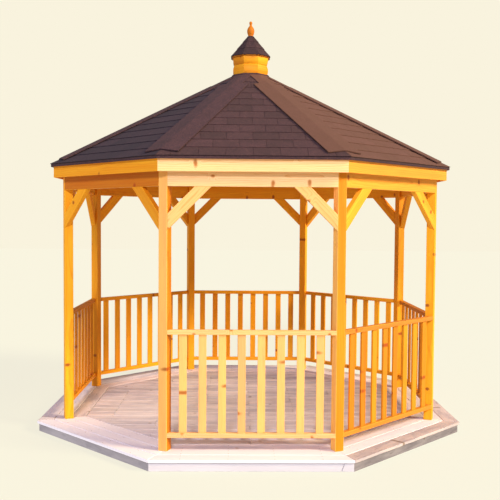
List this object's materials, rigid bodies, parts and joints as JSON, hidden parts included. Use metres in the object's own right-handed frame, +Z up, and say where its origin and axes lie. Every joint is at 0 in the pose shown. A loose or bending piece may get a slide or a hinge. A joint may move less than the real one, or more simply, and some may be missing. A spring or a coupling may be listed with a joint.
{
  "type": "garden gazebo",
  "caption": "Octagonal timber garden gazebo with a shingled roof, a small cupola and finial, picket balustrades, knee braces and a low boarded deck, open on one side.",
  "frame": {"origin": "on the ground under the middle of the deck, the bottom centre of the bounding box", "axes": "+Z up; -Y out through the front bay; the way in is the bay between -X and -Y"},
  "size_m": [3.6324, 3.6324, 3.6796],
  "materials": {
    "stained_softwood": "satin honey stain",
    "roof_timber": "satin stain, planed softwood",
    "weathered_deck_board": "weathered, bare",
    "deck_frame_timber": "weathered, bare",
    "felt_shingle": "mineral granules on bitumen felt"
  },
  "bodies": {
    "root": {"deck_rim": "deck_frame_timber", "deck_bearers": "deck_frame_timber", "deck_border": "weathered_deck_board", "deck_floor": "weathered_deck_board", "post_front_left": "stained_softwood", "post_front_right": "stained_softwood", "post_right_front": "stained_softwood", "post_right_back": "stained_softwood", "post_back_right": "stained_softwood", "post_back_left": "stained_softwood", "post_left_back": "stained_softwood", "post_left_front": "stained_softwood", "balustrade_front": "stained_softwood", "balustrade_front_right": "stained_softwood", "balustrade_right": "stained_softwood", "balustrade_back_right": "stained_softwood", "balustrade_back": "stained_softwood", "balustrade_back_left": "stained_softwood", "balustrade_left": "stained_softwood", "head_beam_front": "stained_softwood", "head_beam_front_right": "stained_softwood", "head_beam_right": "stained_softwood", "head_beam_back_right": "stained_softwood", "head_beam_back": "stained_softwood", "head_beam_back_left": "stained_softwood", "head_beam_left": "stained_softwood", "head_beam_front_left": "stained_softwood", "knee_braces": "stained_softwood", "fascia_boards": "stained_softwood", "roof_hub": "roof_timber", "hip_rafters": "roof_timber", "common_rafters": "roof_timber", "roof_boarding_front": "roof_timber", "roof_boarding_front_right": "roof_timber", "roof_boarding_right": "roof_timber", "roof_boarding_back_right": "roof_timber", "roof_boarding_back": "roof_timber", "roof_boarding_back_left": "roof_timber", "roof_boarding_left": "roof_timber", "roof_boarding_front_left": "roof_timber", "roof_covering": "felt_shingle", "hip_caps": "felt_shingle", "cupola_roof": "felt_shingle", "cupola_walls": "stained_softwood", "cupola_finial": "stained_softwood"}
  },
  "joints": []
}
